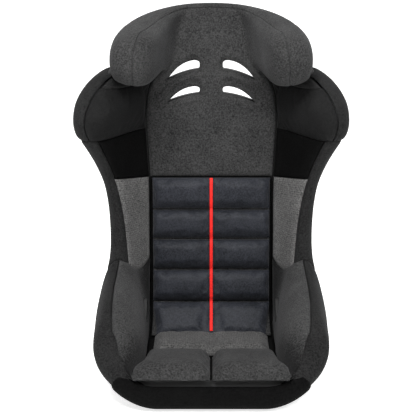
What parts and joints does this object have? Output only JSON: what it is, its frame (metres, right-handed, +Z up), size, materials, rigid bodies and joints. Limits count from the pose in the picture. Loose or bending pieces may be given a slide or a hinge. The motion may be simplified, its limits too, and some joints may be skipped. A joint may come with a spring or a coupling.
{
  "type": "racing seat",
  "caption": "Fixed-back racing bucket seat with head wings, four harness slots, knit covers, a channelled back cushion and side mounts.",
  "frame": {"origin": "on the floor plane under the middle of the shell's flat base", "axes": "+Z up, the driver faces -Y, +X is the driver's left side; the seat is symmetric left to right"},
  "size_m": [0.6434, 0.598, 0.848],
  "materials": {
    "gelcoat": "glossy black gelcoat over glass fibre",
    "steel": "zinc-plated steel",
    "trim": "satin black",
    "foam": "grey polyurethane foam, sealed under the covers",
    "knit": "black fine knit, brushed",
    "shoulder_knit": "black fine knit, smoother",
    "grey_mesh": "charcoal spacer mesh",
    "channel_cloth": "blue-black brushed cloth",
    "red_tape": "bright red woven tape",
    "hook_tape": "black hook-and-loop tape"
  },
  "bodies": {
    "root": {"shell": "gelcoat", "side_mount_boss_front_left": "gelcoat", "side_mount_boss_front_right": "gelcoat", "mount_insert_front_left": "steel", "mount_insert_front_right": "steel", "side_mount_boss_rear_left": "gelcoat", "side_mount_boss_rear_right": "gelcoat", "mount_insert_rear_left": "steel", "mount_insert_rear_right": "steel", "harness_slot_trim_upper_left": "trim", "harness_slot_trim_upper_right": "trim", "harness_slot_trim_lower_left": "trim", "harness_slot_trim_lower_right": "trim", "lap_belt_slot_trim_left": "trim", "lap_belt_slot_trim_right": "trim", "crotch_slot_trim": "trim", "thigh_foam_left": "foam", "thigh_foam_right": "foam", "side_foam_left": "foam", "side_foam_right": "foam", "shoulder_foam_left": "foam", "shoulder_foam_right": "foam", "head_wing_foam_left": "foam", "head_wing_foam_right": "foam", "pan_foam": "foam", "back_foam": "foam", "head_foam": "foam", "pan_lining": "knit", "back_lining": "knit", "upper_back_panel": "knit", "head_panel": "knit", "thigh_cover_inner_left": "knit", "thigh_cover_inner_right": "knit", "side_insert_left": "grey_mesh", "side_insert_right": "grey_mesh", "thigh_cover_outer_left": "knit", "thigh_cover_outer_right": "knit", "waist_rim_cover_left": "knit", "waist_rim_cover_right": "knit", "side_panel_left": "knit", "side_panel_right": "knit", "shoulder_pad_left": "shoulder_knit", "shoulder_pad_right": "shoulder_knit", "shoulder_rim_cover_left": "knit", "shoulder_rim_cover_right": "knit", "shoulder_top_cover_left": "knit", "shoulder_top_cover_right": "knit", "front_apron": "knit", "head_rim_cover": "knit", "back_cushion_board": "knit", "back_channel_1": "channel_cloth", "back_channel_2": "channel_cloth", "back_channel_3": "channel_cloth", "back_channel_4": "channel_cloth", "back_channel_5": "channel_cloth", "centre_stripe": "red_tape", "seat_cushion_rear": "grey_mesh", "front_pad_left": "knit", "front_pad_right": "knit", "back_hook_tape": "hook_tape"}
  },
  "joints": []
}
